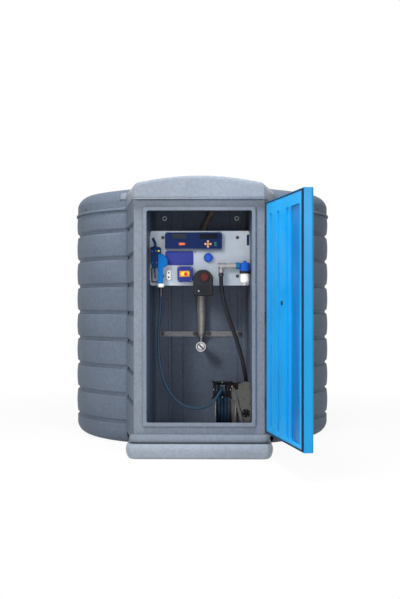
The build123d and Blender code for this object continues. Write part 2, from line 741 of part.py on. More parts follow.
nozzle_outline = [(nozzle_left, -12), (-344, 5), (-318, 0), (grip_split, -30), (grip_split, -150),
                  (-352, -146), (nozzle_left, -110)]
body = nozzle_slice(nozzle_outline, nozzle_half, 7)
body = fillet(body.faces().sort_by(Axis.Y)[0].edges(), 6)
spout_path = FilletPolyline(
    (-334, nozzle_y, nozzle_top - 10), (-334, nozzle_y, nozzle_top + 34),
    (-352, nozzle_y, nozzle_top + 74), radius=30)
spout = sweep(Plane(origin=(-334, nozzle_y, nozzle_top - 10), z_dir=(0, 0, 1)) * Circle(10), path=spout_path)
body += spout
body += rod_z(-334, nozzle_y, nozzle_top - 5, nozzle_top + 14, 15)
body += rod_between((-340, nozzle_y, nozzle_top - 130), (-334, nozzle_y, grip_bottom + 40), 5)
save("nozzle_body", body)
grip_outline = [(grip_split, -38), (-268, -50), (-240, -88), (-240, -128), (-274, -150),
                (-276, -268), (grip_split, -268)]
grip = nozzle_slice(grip_outline, 18, 8)
grip = fillet(grip.faces().sort_by(Axis.Y)[0].edges(), 5)
save("nozzle_grip", grip)
guard_low = grip_bottom + 14
guard_path = FilletPolyline(
    (grip_split, nozzle_y, guard_low), (-358, nozzle_y, guard_low), (-360, nozzle_y, nozzle_top - 152),
    (-346, nozzle_y, nozzle_top - 148), radius=8)
guard_start = Plane(origin=(grip_split, nozzle_y, guard_low), z_dir=(-1, 0, 0))
guard = sweep(guard_start * Circle(5), path=guard_path) - body - grip
save("nozzle_guard", guard)
swivel_x = -291.0
swivel_low = grip_bottom - 69
collar_profile = [(0, grip_bottom), (16, grip_bottom), (22, grip_bottom - 8), (22, grip_bottom - 34),
                  (17, grip_bottom - 39), (17, grip_bottom - 52), (14, grip_bottom - 54),
                  (14, swivel_low), (0, swivel_low)]
collar_outline = Polyline(*[(swivel_x + radius, nozzle_y, z) for radius, z in collar_profile], close=True)
save("nozzle_swivel", revolve(make_face(collar_outline), Axis((swivel_x, nozzle_y, 0), (0, 0, 1)), 360))

# Hose reel on its stand
left_dish = 10.0
right_dish = 34.0
hose_turns = 4
stand_x = reel_right + 16
stand_thickness = 8.0
stand_front = reel_y - 200
guide_top = reel_z + 220
base = block(reel_left - 12, stand_x + 64, stand_front - 20, reel_y + 150, cabinet_floor, cabinet_floor + reel_sheet)
base = fillet(base.edges().filter_by(Axis.Z), 10)
stand_base = cabinet_floor + reel_sheet
stand_outline = [(reel_y - 140, stand_base), (reel_y + 130, stand_base), (reel_y + 40, reel_z + 90),
                 (stand_front + 10, guide_top), (stand_front, guide_top), (stand_front, guide_top - 60),
                 (reel_y - 50, reel_z + 60)]
stand = side_prism(stand_outline, stand_x, stand_x + stand_thickness)
stand = fillet(stand.edges().filter_by(Axis.X).sort_by(Axis.Z)[-4:], 4)
stand -= rod_x(stand_x - 1, stand_x + 20, reel_y, cabinet_floor + 70, 26)
hub_face = stand_x + stand_thickness
hub_end = hub_face + 36
stand += rod_x(hub_face, hub_end, reel_y, reel_z, 30)
stand += rod_x(hub_face, hub_face + 9, reel_y, reel_z, 48)
for index in range(6):
    bolt_y = reel_y + 39 * math.cos(math.radians(60 * index))
    bolt_z = reel_z + 39 * math.sin(math.radians(60 * index))
    stand += rod_x(hub_face + 9, hub_face + 14, bolt_y, bolt_z, 5)
axle = rod_x(reel_left + 4, stand_x, reel_y, reel_z, reel_axle_radius)
arm_foot = (stand_x + 54, stand_front - 8, stand_base)
arm_head = (stand_x - 38, stand_front - 8, guide_top - 45)
arm = front_prism([(arm_foot[0] - 11, arm_foot[2]), (arm_foot[0] + 11, arm_foot[2]),
                   (arm_head[0] + 11, arm_head[2]), (arm_head[0] - 11, arm_head[2])],
                  stand_front - 12, stand_front - 6)
save("reel_frame", base + stand + axle + arm)


def flange(rim, hub, side):
    # A dished flange with its rim at one distance and its middle further in
    near = hub - side * reel_sheet
    profile = [
        (reel_axle_radius + 1, near), (reel_core_radius + 28, near), (reel_flange_radius - 14, rim - side * reel_sheet),
        (reel_flange_radius, rim - side * reel_sheet), (reel_flange_radius, rim),
        (reel_flange_radius - 16, rim), (reel_core_radius + 26, hub), (reel_axle_radius + 1, hub),
    ]
    solid = turned_x(reel_y, reel_z, profile)
    for index in range(5):
        angle = math.radians(72 * index + 18)
        hole_y = reel_y + 48 * math.cos(angle)
        hole_z = reel_z + 48 * math.sin(angle)
        solid -= rod_x(near - side, hub + side, hole_y, hole_z, 16)
    return solid


left_hub = reel_left + left_dish
right_hub = reel_right - right_dish
wound_left = left_hub + reel_sheet
wound_right = right_hub - reel_sheet
core = [(reel_core_radius - 6, wound_left), (reel_core_radius, wound_left),
        (reel_core_radius, wound_right), (reel_core_radius - 6, wound_right)]
boss = [(reel_axle_radius + 1, wound_left), (reel_axle_radius + 10, wound_left),
        (reel_axle_radius + 10, wound_right), (reel_axle_radius + 1, wound_right)]
drum = flange(reel_left, left_hub, -1) + flange(reel_right, right_hub, 1)
drum += turned_x(reel_y, reel_z, core) + turned_x(reel_y, reel_z, boss)
save("reel_drum", drum)


def wound_hose():
    inner = reel_z + reel_core_radius + seat_gap
    valley = reel_z + reel_wound_radius - hose_radius
    left = wound_left + seat_gap
    right = wound_right - seat_gap
    pitch = (right - left) / hose_turns
    edges = [Line((left, reel_y, inner), (left, reel_y, valley))]
    for index in range(hose_turns):
        start = left + index * pitch
        edges.append(ThreePointArc((start, reel_y, valley), (start + pitch / 2, reel_y, valley + hose_radius),
                                   (start + pitch, reel_y, valley)))
    edges.append(Line((right, reel_y, valley), (right, reel_y, inner)))
    edges.append(Line((right, reel_y, inner), (left, reel_y, inner)))
    return revolve(make_face(edges), Axis((0, reel_y, reel_z), (1, 0, 0)), 360)


save("reel_hose", wound_hose())

# Roller guide in front of the reel
guide_left = 100.0
guide_right = 236.0
guide_low = guide_top - 120
guide_front = stand_front - 20
guide_back = guide_front + 30
guide_middle = (guide_front + guide_back) / 2
guide_rim = 12.0
roller_radius = 6.5
roller_offset = 7.0
roller_inset = guide_rim + roller_radius + 1.5
guide = rounded_front(guide_left, guide_right, guide_front, guide_back, guide_low, guide_top, 14)
guide -= rounded_front(guide_left + guide_rim, guide_right - guide_rim, guide_front - 1, guide_back + 1,
                       guide_low + guide_rim, guide_top - guide_rim, 8)
for x in (guide_left + roller_inset, guide_right - roller_inset):
    guide += rod_z(x, guide_middle - roller_offset, guide_low + 4, guide_top - 4, roller_radius)
for z in (guide_low + roller_inset, guide_top - roller_inset):
    guide += rod_x(guide_left + 4, guide_right - 4, guide_middle + roller_offset, z, roller_radius)
for x, lean in ((guide_left + 10, -12), (guide_right - 10, 12)):
    for z, rise in ((guide_low + 10, -10), (guide_top - 10, 10)):
        guide += rod_between((x, guide_front + 4, z), (x + lean, guide_front - 10, z + rise), 5)
        guide += Pos(x + lean, guide_front - 11, z + rise) * Sphere(7)
guide += block(guide_right - 2, stand_x, guide_front + 14, guide_back, guide_top - 60, guide_top - 8)
save("roller_guide", guide)

# Swivel joint at the end of the reel
swivel_axis_x = hub_end + 22
inlet_top = reel_z + 45
joint = rod_z(swivel_axis_x, reel_y, reel_z, inlet_top, supply_radius + 2)
joint += Pos(swivel_axis_x, reel_y, reel_z) * Sphere(supply_radius + 2)
joint += rod_x(hub_end, swivel_axis_x, reel_y, reel_z, reel_axle_radius)
joint += extrude(Plane(origin=(swivel_axis_x, reel_y, inlet_top - 22), z_dir=(0, 0, 1)) * RegularPolygon(21, 6), 16)
save("reel_swivel", joint)


# Hoses, each a tube of straight runs and tangent arcs
def cord_radii(points):
    radii = []
    for index in range(1, len(points) - 1):
        before = Vector(*points[index]) - Vector(*points[index - 1])
        after = Vector(*points[index + 1]) - Vector(*points[index])
        turn = math.radians(before.get_angle(after))
        shorter = min(before.length, after.length)
        radii.append(0.45 * shorter / math.tan(turn / 2))
    return radii


def cord(name, points, radius):
    radii = cord_radii(points)
    path = FilletPolyline(*points, radius=radii)
    place = Plane(origin=points[0], z_dir=Vector(*points[1]) - Vector(*points[0]))
    tube = sweep(place * Circle(radius), path=path)
    expected = math.pi * radius ** 2 * path.length
    print(name, "radii", [round(value) for value in radii])
    print(name, "length", round(path.length), "volume ratio", round(tube.volume / expected, 4))
    save(name, tube)


delivery_route = [
    (-291, -1500, 1214), (-291, -1500, 1134), (-300, -1504, 1030), (-310, -1512, 900),
    (-308, -1522, 765), (-290, -1534, 640), (-256, -1548, 535), (-206, -1564, 452),
    (-142, -1582, 392), (-68, -1604, 362), (8, -1628, 362), (72, -1646, 388),
    (118, -1654, 432), (148, -1642, 478), (165, -1606, 504), (167, -1552, 508),
    (168, -1498, 500), (167, -1446, 494),
]
cord("delivery_hose", delivery_route, hose_radius)
supply_route = [
    (160, -1500, 1364), (160, -1500, 1300), (169, -1500, 1210), (192, -1498, 1110),
    (226, -1496, 1005), (264, -1494, 900), (298, -1490, 795), (326, -1480, 690),
    (344, -1462, 590), (351, -1428, 505), (352, -1400, 432), (352, -1400, 385),
]
cord("supply_hose", supply_route, supply_radius)
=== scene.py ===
import math
import json
import bpy
import bmesh
from mathutils import Vector, Matrix


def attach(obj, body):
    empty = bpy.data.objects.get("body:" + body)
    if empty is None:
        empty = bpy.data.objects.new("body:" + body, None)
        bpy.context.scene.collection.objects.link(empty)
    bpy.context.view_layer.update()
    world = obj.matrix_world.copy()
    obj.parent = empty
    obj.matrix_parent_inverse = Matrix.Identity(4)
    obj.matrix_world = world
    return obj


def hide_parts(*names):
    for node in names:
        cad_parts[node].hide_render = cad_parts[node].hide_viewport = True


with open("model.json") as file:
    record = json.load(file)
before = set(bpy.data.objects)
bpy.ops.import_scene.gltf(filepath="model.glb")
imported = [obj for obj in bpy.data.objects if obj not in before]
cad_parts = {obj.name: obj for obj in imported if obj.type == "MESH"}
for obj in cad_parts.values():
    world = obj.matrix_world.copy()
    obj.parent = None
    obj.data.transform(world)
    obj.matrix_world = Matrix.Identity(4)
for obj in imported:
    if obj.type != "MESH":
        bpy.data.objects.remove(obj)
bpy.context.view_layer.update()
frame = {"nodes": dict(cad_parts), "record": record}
scene = bpy.context.scene
scene.view_settings.view_transform = "Standard"
nodes = frame["nodes"]


# Camera, level and a little right of the centre plane
focal_px = 1000.0
picture_height = 599.0
eye = Vector((0.12, -8.99, 1.165))
yaw = math.radians(0.9)
camera_data = bpy.data.cameras.new("camera")
camera_data.sensor_width = 36.0
camera_data.lens = focal_px / picture_height * camera_data.sensor_width
camera = bpy.data.objects.new("camera", camera_data)
camera.location = eye
camera.rotation_euler = (math.radians(90), 0, yaw)
scene.collection.objects.link(camera)
scene.camera = camera


# Node helpers for the materials
def new_material(name):
    material = bpy.data.materials.new(name)
    material.use_nodes = True
    tree = material.node_tree
    shader = tree.nodes["Principled BSDF"]
    return material, tree, shader


def add_noise(tree, scale, detail=4.0, roughness=0.55, stretch=None):
    coords = tree.nodes.new("ShaderNodeTexCoord")
    noise = tree.nodes.new("ShaderNodeTexNoise")
    noise.inputs["Scale"].default_value = scale
    noise.inputs["Detail"].default_value = detail
    noise.inputs["Roughness"].default_value = roughness
    if stretch is None:
        tree.links.new(coords.outputs["Object"], noise.inputs["Vector"])
    else:
        mapping = tree.nodes.new("ShaderNodeMapping")
        mapping.inputs["Scale"].default_value = stretch
        tree.links.new(coords.outputs["Object"], mapping.inputs["Vector"])
        tree.links.new(mapping.outputs["Vector"], noise.inputs["Vector"])
    return noise.outputs["Fac"]


def add_ramp(tree, source, low, high, low_at=0.35, high_at=0.65):
    ramp = tree.nodes.new("ShaderNodeValToRGB")
    ramp.color_ramp.elements[0].position = low_at
    ramp.color_ramp.elements[1].position = high_at
    ramp.color_ramp.elements[0].color = (*low, 1)
    ramp.color_ramp.elements[1].color = (*high, 1)
    tree.links.new(source, ramp.inputs["Fac"])
    return ramp.outputs["Color"]


def add_bump(tree, shader, source, strength, distance):
    bump = tree.nodes.new("ShaderNodeBump")
    bump.inputs["Strength"].default_value = strength
    bump.inputs["Distance"].default_value = distance
    tree.links.new(source, bump.inputs["Height"])
    tree.links.new(bump.outputs["Normal"], shader.inputs["Normal"])
    return bump


def shade(colour, factor):
    return tuple(channel * factor for channel in colour)


def add_tone(tree, shader, source, colour, low, high):
    # The base colour wanders between two shades of one colour
    tone = add_ramp(tree, source, shade(colour, low), shade(colour, high))
    tree.links.new(tone, shader.inputs["Base Color"])


def vary_roughness(tree, shader, source, low, high):
    rough = tree.nodes.new("ShaderNodeMapRange")
    rough.inputs["To Min"].default_value = low
    rough.inputs["To Max"].default_value = high
    tree.links.new(source, rough.inputs["Value"])
    tree.links.new(rough.outputs["Result"], shader.inputs["Roughness"])


# Smooth plastic or paint with a fine grain
def moulded(name, colour, roughness, grain=220.0, bump=0.25, gloss=0.3):
    material, tree, shader = new_material(name)
    shader.inputs["Specular IOR Level"].default_value = gloss
    add_tone(tree, shader, add_noise(tree, 2.2, 3.0), colour, 0.92, 1.08)
    fine = add_noise(tree, grain, 2.0)
    vary_roughness(tree, shader, fine, roughness - 0.08, roughness + 0.08)
    add_bump(tree, shader, fine, bump, 0.0006)
    return material


def metal(name, colour, roughness, stretch=(1, 1, 1), grain=60.0, bump=0.08):
    material, tree, shader = new_material(name)
    shader.inputs["Metallic"].default_value = 1.0
    streak = add_noise(tree, grain, 3.0, stretch=stretch)
    add_tone(tree, shader, streak, colour, 0.86, 1.08)
    vary_roughness(tree, shader, streak, roughness - 0.07, roughness + 0.07)
    add_bump(tree, shader, streak, bump, 0.0004)
    return material


# Painted or galvanised sheet: mostly a plain pale colour with a soft sheen
def sheet_metal(name, colour):
    material, tree, shader = new_material(name)
    shader.inputs["Metallic"].default_value = 0.35
    add_tone(tree, shader, add_noise(tree, 9.0, 4.0, 0.6), colour, 0.95, 1.04)
    shader.inputs["Roughness"].default_value = 0.5
    add_bump(tree, shader, add_noise(tree, 300.0, 2.0), 0.06, 0.0003)
    return material


# Dull brushed steel that keeps its own colour in a dark room
def brushed(name, colour):
    material, tree, shader = new_material(name)
    shader.inputs["Metallic"].default_value = 0.45
    streak = add_noise(tree, 26.0, 4.0, 0.6, stretch=(1, 1, 6))
    add_tone(tree, shader, streak, colour, 0.80, 1.12)
    shader.inputs["Roughness"].default_value = 0.36
    add_bump(tree, shader, streak, 0.10, 0.0004)
    return material


# Rotomoulded skin: mottled grey-blue with a fine pebble and softened edges
def tank_skin(name, base, edge, gloss=0.22, roughness=0.50):
    material, tree, shader = new_material(name)
    colour = add_ramp(tree, add_noise(tree, 1.6, 4.0), shade(base, 0.90), shade(base, 1.07))
    clouds = add_ramp(tree, add_noise(tree, 38.0, 5.0, 0.7), (0.90, 0.90, 0.90), (1.07, 1.07, 1.07), 0.36, 0.64)
    specks = add_ramp(tree, add_noise(tree, 420.0, 2.0), (0.84, 0.84, 0.84), (1.10, 1.10, 1.10), 0.42, 0.60)
    for layer in (clouds, specks):
        mix = tree.nodes.new("ShaderNodeMix")
        mix.data_type = "RGBA"
        mix.blend_type = "MULTIPLY"
        mix.inputs["Factor"].default_value = 1.0
        tree.links.new(colour, mix.inputs["A"])
        tree.links.new(layer, mix.inputs["B"])
        colour = mix.outputs["Result"]
    tree.links.new(colour, shader.inputs["Base Color"])
    shader.inputs["Roughness"].default_value = roughness
    shader.inputs["Specular IOR Level"].default_value = gloss
    bump = add_bump(tree, shader, add_noise(tree, 160.0, 3.0), 0.35, 0.0012)
    soft = tree.nodes.new("ShaderNodeBevel")
    soft.samples = 6
    soft.inputs["Radius"].default_value = edge
    tree.links.new(soft.outputs["Normal"], bump.inputs["Normal"])
    return material


# One grey-blue moulded skin in six shades: the wall, liner and frame copies are darker as painted shade, the lip and
# plinth copies are lighter as painted highlight
skin = tank_skin("tank_skin", (0.213, 0.242, 0.288), 0.020, 0.40, 0.34)
wall_shaded_skin = tank_skin("wall_shaded_skin", (0.134, 0.163, 0.212), 0.010, 0.04)
liner_shaded_skin = tank_skin("liner_shaded_skin", (0.118, 0.142, 0.190), 0.006)
lip_highlight_skin = tank_skin("lip_highlight_skin", (0.46, 0.51, 0.58), 0.004, 0.60, 0.26)
frame_shaded_skin = tank_skin("frame_shaded_skin", (0.172, 0.196, 0.236), 0.007)
plinth_lit_skin = tank_skin("plinth_lit_skin", (0.268, 0.302, 0.352), 0.004, 0.45, 0.32)

# Metals
zinc = metal("zinc", (0.52, 0.54, 0.56), 0.40, grain=24.0)
stainless = metal("stainless", (0.52, 0.50, 0.47), 0.38, stretch=(1, 1, 9), grain=14.0)
dark_bolt = metal("dark_bolt", (0.10, 0.10, 0.11), 0.38)
polished = metal("polished", (0.72, 0.73, 0.75), 0.16, grain=20.0, bump=0.02)
plate_metal = sheet_metal("plate_metal", (0.54, 0.59, 0.66))
pipe_steel = brushed("pipe_steel", (0.42, 0.395, 0.37))
riser_steel = brushed("riser_steel", (0.36, 0.30, 0.25))
flange_steel = brushed("flange_steel", (0.24, 0.23, 0.22))
strap_metal = brushed("strap_metal", (0.22, 0.22, 0.225))
reel_steel = brushed("reel_steel", (0.080, 0.080, 0.070))
# Light steel for the reel rims, as painted highlight
rim_highlight_steel = brushed("rim_highlight_steel", (0.62, 0.63, 0.64))
copper = brushed("copper", (0.30, 0.13, 0.07))

# Plastics, paints and rubbers
# The door's own blue, with darker copies as painted shade on the door panel and on the recess floors of the lining
door_blue = moulded("door_blue", (0.009, 0.325, 0.72), 0.36, bump=0.12, gloss=0.2)
door_shaded_blue = moulded("door_shaded_blue", (0.008, 0.245, 0.53), 0.36, bump=0.12, gloss=0.2)
recess_deep_shade_blue = moulded("recess_deep_shade_blue", (0.004, 0.150, 0.43), 0.36, bump=0.12)
recess_shade_blue = moulded("recess_shade_blue", (0.010, 0.26, 0.68), 0.36, bump=0.12)
seal_black = moulded("seal_black", (0.012, 0.012, 0.014), 0.6)
guide_black = moulded("guide_black", (0.006, 0.006, 0.007), 0.5, bump=0.1, gloss=0.08)
black_coat = moulded("black_coat", (0.014, 0.015, 0.017), 0.42, bump=0.1, gloss=0.25)
charcoal = moulded("charcoal", (0.017, 0.018, 0.021), 0.5, gloss=0.15)
panel_navy = moulded("panel_navy", (0.010, 0.022, 0.085), 0.3, bump=0.03, gloss=0.1)
panel_violet = moulded("panel_violet", (0.045, 0.06, 0.28), 0.34, bump=0.03, gloss=0.1)
switch_blue = moulded("switch_blue", (0.03, 0.045, 0.22), 0.34, bump=0.03, gloss=0.1)
royal = moulded("royal", (0.012, 0.085, 0.42), 0.3, bump=0.05, gloss=0.1)
nozzle_navy = moulded("nozzle_navy", (0.006, 0.030, 0.11), 0.34, bump=0.05, gloss=0.1)
nozzle_blue = moulded("nozzle_blue", (0.006, 0.13, 0.40), 0.3, bump=0.05, gloss=0.1)
teal = moulded("teal", (0.006, 0.12, 0.27), 0.3, bump=0.05)
green = moulded("green", (0.05, 0.42, 0.16), 0.4, bump=0.03)
orange = moulded("orange", (0.85, 0.16, 0.06), 0.35, bump=0.03)
salmon = moulded("salmon", (0.86, 0.50, 0.40), 0.4, bump=0.03)
amber = moulded("amber", (0.62, 0.28, 0.05), 0.4, bump=0.03)
yellow = moulded("yellow", (0.86, 0.62, 0.07), 0.36, bump=0.03)
red = moulded("red", (0.70, 0.03, 0.02), 0.36, bump=0.03)
dark_red = moulded("dark_red", (0.065, 0.008, 0.009), 0.3, bump=0.03)
white = moulded("white", (0.80, 0.80, 0.78), 0.4, bump=0.05)
label_grey = moulded("label_grey", (0.32, 0.34, 0.36), 0.45, bump=0.03)
screen_glass = moulded("screen_glass", (0.008, 0.010, 0.014), 0.35, bump=0.01, gloss=0.1)
screen_grey = moulded("screen_grey", (0.030, 0.034, 0.040), 0.35, bump=0.01, gloss=0.1)
lens_blue = moulded("gauge_lens", (0.02, 0.10, 0.50), 0.08, bump=0.01)
hose_skin = moulded("hose_skin", (0.012, 0.028, 0.050), 0.33, grain=320.0, bump=0.08)
supply_skin = moulded("supply_skin", (0.012, 0.013, 0.015), 0.36, grain=320.0, bump=0.08)

# The solids take the material of their slot, unless they have one of their own
finishes = {
    "body_plastic": skin, "door_plastic": door_blue, "seal_rubber": seal_black, "zinc_steel": zinc,
    "stainless": stainless, "polished": polished, "dark_metal": black_coat, "control_blue": panel_navy,
    "key_orange": orange, "panel_blue": panel_violet, "switch_blue": switch_blue,
    "switch_yellow": red, "white_plastic": white, "gauge_blue": royal, "housing_black": charcoal,
    "dial_red": dark_red, "nozzle_blue": nozzle_blue, "nozzle_dark": nozzle_navy, "hose_rubber": hose_skin,
}
# The frame, cabinet sides, manhole lid and neck take darker skin copies, and the door panel a darker blue, as painted
# shade
special = {
    "cabinet_frame": frame_shaded_skin, "cabinet_side_left": wall_shaded_skin, "cabinet_side_right": wall_shaded_skin,
    "manhole_lid": wall_shaded_skin, "manhole_neck": wall_shaded_skin, "door_panel": door_shaded_blue,
    "mounting_plate": plate_metal, "wall_strap": strap_metal, "grommets": white,
    "door_hinges": black_coat, "hinge_brackets": black_coat, "isolator_knob": red,
    "riser_pipe": pipe_steel, "filter_pipe": pipe_steel, "fill_pipe": pipe_steel,
    "nozzle_swivel": dark_bolt, "nozzle_guard": black_coat, "roller_guide": guide_black,
    "reel_frame": reel_steel, "reel_drum": flange_steel, "reel_swivel": dark_bolt,
}
# Tank walls and the cabinet liner take darker skin copies as painted shade
for name in nodes:
    if name.startswith("tank_"):
        special[name] = wall_shaded_skin
    if name.startswith("liner_"):
        special[name] = liner_shaded_skin
for entry in frame["record"]["subparts"]:
    item = nodes[entry["node"]]
    item.data.materials.clear()
    item.data.materials.append(special.get(entry["node"], finishes[entry["material_slot"]]))


# Hoses on the same points as the solids, in metres
def hose(name, points, radius, material, replaced):
    data = bpy.data.curves.new(name, "CURVE")
    data.dimensions = "3D"
    spline = data.splines.new("NURBS")
    spline.points.add(len(points) - 1)
    for point, place in zip(spline.points, points):
        point.co = (*place, 1.0)
    spline.order_u = 3
    spline.use_endpoint_u = True
    spline.resolution_u = 10
    data.bevel_depth = radius
    data.bevel_resolution = 6
    data.use_fill_caps = True
    data.materials.append(material)
    piece = bpy.data.objects.new(name, data)
    scene.collection.objects.link(piece)
    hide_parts(replaced)
    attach(piece, "tank")
    return piece


delivery_route = [
    (-0.291, -1.500, 1.214), (-0.291, -1.500, 1.134), (-0.300, -1.504, 1.030), (-0.310, -1.512, 0.900),
    (-0.308, -1.522, 0.765), (-0.290, -1.534, 0.640), (-0.256, -1.548, 0.535), (-0.206, -1.564, 0.452),
    (-0.142, -1.582, 0.392), (-0.068, -1.604, 0.362), (0.008, -1.628, 0.362), (0.072, -1.646, 0.388),
    (0.118, -1.654, 0.432), (0.148, -1.642, 0.478), (0.165, -1.606, 0.504), (0.167, -1.552, 0.508),
    (0.168, -1.498, 0.500), (0.167, -1.446, 0.494),
]
supply_route = [
    (0.160, -1.500, 1.364), (0.160, -1.500, 1.300), (0.169, -1.500, 1.210), (0.192, -1.498, 1.110),
    (0.226, -1.496, 1.005), (0.264, -1.494, 0.900), (0.298, -1.490, 0.795), (0.326, -1.480, 0.690),
    (0.344, -1.462, 0.590), (0.351, -1.428, 0.505), (0.352, -1.400, 0.432), (0.352, -1.400, 0.385),
]
delivery = hose("delivery_line", delivery_route, 0.011, hose_skin, "delivery_hose")
supply = hose("supply_line", supply_route, 0.015, supply_skin, "supply_hose")


# Directions that plates, bolts and turned shapes face
to_left = (-1, 0, 0)
to_right = (1, 0, 0)
to_front = (0, -1, 0)
to_back = (0, 1, 0)
to_top = (0, 0, 1)


# Shape helpers: each piece rides on a body and takes a finish
def finish_mesh(name, shape, material, body="tank", angle=35.0):
    data = bpy.data.meshes.new(name)
    bmesh.ops.recalc_face_normals(shape, faces=shape.faces[:])
    shape.to_mesh(data)
    shape.free()
    data.shade_smooth()
    data.set_sharp_from_angle(angle=math.radians(angle))
    data.materials.append(material)
    piece = bpy.data.objects.new(name, data)
    scene.collection.objects.link(piece)
    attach(piece, body)
    return piece


def add_loft(shape, outlines, kind="solid"):
    # Joins outlines that have equally many points. A solid's ends are capped, a loop's last outline meets its first,
    # and a sheet's outlines are open.
    rings = [[shape.verts.new(point) for point in outline] for outline in outlines]
    onward = rings[1:] + rings[:1] if kind == "loop" else rings[1:]
    for low, high in zip(rings, onward):
        for index in range(len(low) - 1 if kind == "sheet" else len(low)):
            after = (index + 1) % len(low)
            shape.faces.new((low[index], low[after], high[after], high[index]))
    if kind == "solid":
        shape.faces.new(rings[0])
        shape.faces.new(rings[-1])


def add_turned(shape, profile, place, axis, steps):
    # profile holds (radius, height) pairs from the axis round to the axis
    turn = Vector(to_top).rotation_difference(Vector(axis).normalized())
    matrix = Matrix.Translation(Vector(place)) @ turn.to_matrix().to_4x4()
    rings = []
    for radius, height in profile:
        if radius < 1e-7:
            rings.append([shape.verts.new(matrix @ Vector((0, 0, height)))])
            continue
        ring = []
        for index in range(steps):
            angle = 2 * math.pi * index / steps
            ring.append(shape.verts.new(matrix @ Vector((radius * math.cos(angle), radius * math.sin(angle), height))))
        rings.append(ring)
    for low, high in zip(rings, rings[1:]):
        for index in range(steps):
            after = (index + 1) % steps
            corners = [low[index % len(low)], low[after % len(low)], high[after % len(high)], high[index % len(high)]]
            unique = list(dict.fromkeys(corners))
            if len(unique) > 2:
                shape.faces.new(unique)


def circle(count, start, radius):
    # Points spread evenly round a circle, from the start angle in degrees
    angles = [math.radians(start + 360 / count * index) for index in range(count)]
    return [(radius * math.cos(angle), radius * math.sin(angle)) for angle in angles]


def rounded_outline(width, height, radius):
    steps = 6
    points = []
    for cx, cy, start in ((1, 1, 0), (-1, 1, 90), (-1, -1, 180), (1, -1, 270)):
        for index in range(steps + 1):
            angle = math.radians(start + 90 * index / steps)
            x = cx * (width / 2 - radius) + radius * math.cos(angle)
            y = cy * (height / 2 - radius) + radius * math.sin(angle)
            points.append((x, y))
    return points


def add_plate(shape, centre, width, height, depth, radius, edge, facing=to_front, up=to_top):
    # A rounded plate with a softened front edge; centre is on its back face
    normal = Vector(facing).normalized()
    rise = Vector(up)
    across = rise.cross(normal).normalized()
    outlines = []
    for inset, lift in ((0, 0), (0, depth - edge), (edge * 0.3, depth - edge * 0.3), (edge, depth)):
        outline = rounded_outline(width - 2 * inset, height - 2 * inset, max(radius - inset, 0.0002))
        outlines.append([Vector(centre) + across * x + rise * y + normal * lift for x, y in outline])
    add_loft(shape, outlines)


def add_prism(shape, outline, front_y, back_y):
    # A flat piece with the outline's x and z, between two depths
    add_loft(shape, [[(x, y, z) for x, z in outline] for y in (front_y, back_y)])


def add_upright(shape, outline, low_z, high_z):
    # An upright piece with the outline's x and y, between two heights
    add_loft(shape, [[(x, y, z) for x, y in outline] for z in (low_z, high_z)])


def add_roll(shape, path, radius, place, closed):
    # A round section along a flat path; place turns a point of that plane, and the height over it, into x, y and z
    count = len(path)
    section = circle(12, 0, radius)
    outlines = []
    for index, (u, v) in enumerate(path):
        before = Vector(path[index - 1 if closed else max(index - 1, 0)])
        after = Vector(path[(index + 1) % count if closed else min(index + 1, count - 1)])
        along = (after - before).normalized()
        out = Vector((along.y, -along.x))
        outlines.append([place(u + out.x * a, v + out.y * a, b) for a, b in section])
    add_loft(shape, outlines, "loop" if closed else "solid")


def add_bolt(shape, place, axis, radius, height):
    # A hexagon head on a washer
    add_turned(shape, [(0, 0), (radius * 1.5, 0), (radius * 1.5, height * 0.18), (radius * 1.35, height * 0.26),
                       (0, height * 0.26)], place, axis, 20)
    add_turned(shape, [(0, height * 0.2), (radius, height * 0.2), (radius, height * 0.85),
                       (radius * 0.85, height), (0, height)], place, axis, 6)


def add_screw(shape, place, axis, radius, height):
    add_turned(shape, [(0, 0), (radius, 0), (radius, height * 0.35), (radius * 0.8, height * 0.8),
                       (radius * 0.5, height), (radius * 0.32, height), (radius * 0.26, height * 0.5),
                       (0, height * 0.5)], place, axis, 18)


# Whole pieces made of one kind of shape
def bolts(name, places, axis, radius, height, material):
    shape = bmesh.new()
    for place in places:
        add_bolt(shape, place, axis, radius, height)
    finish_mesh(name, shape, material)


def screws(name, places, radius, height, material):
    shape = bmesh.new()
    for place in places:
        add_screw(shape, place, to_front, radius, height)
    finish_mesh(name, shape, material)


def turned(name, profile, places, axis, steps, material, body="tank"):
    shape = bmesh.new()
    for place in places:
        add_turned(shape, profile, place, axis, steps)
    return finish_mesh(name, shape, material, body=body)


def plates(name, rows, material):
    # Each row holds a plate's centre, width, height, depth, corner radius and soft edge
    shape = bmesh.new()
    for row in rows:
        add_plate(shape, *row)
    finish_mesh(name, shape, material)


# Planes and axes that several details share
plate_face = -1.430
unit_face = -1.480
window_back = -1.4762
key_face = -1.4858
pump_face = -1.560
nozzle_face = -1.5219
guide_face = -1.620
line_y = -1.500
nozzle_x = -0.291
wall_pipe_y = -1.066
clamp_z = 0.892
reel_y = -1.400
reel_z = 0.340


def fasteners():
    bolts("plate_bolts", [(x, plate_face, z) for x in (-0.2805, 0.2843) for z in (1.341, 1.633)],
          to_front, 0.0085, 0.010, dark_bolt)
    bolts("strap_bolts", [(x, -1.0278, clamp_z) for x in (-0.300, -0.045, 0.067, 0.308)],
          to_front, 0.011, 0.012, dark_bolt)
    turned("frame_rivets", [(0, 0), (0.006, 0), (0.0052, 0.0022), (0.003, 0.0034), (0, 0.0038)],
           [(x, -1.675, z) for x in (-0.4245, 0.4245) for z in (1.205, 1.542, 1.878)],
           to_front, 16, flange_steel)
    bolts("lid_bolts", [(x, y, 2.2125) for x, y in circle(24, 7.5, 0.228)], to_top, 0.0075, 0.0074, zinc)


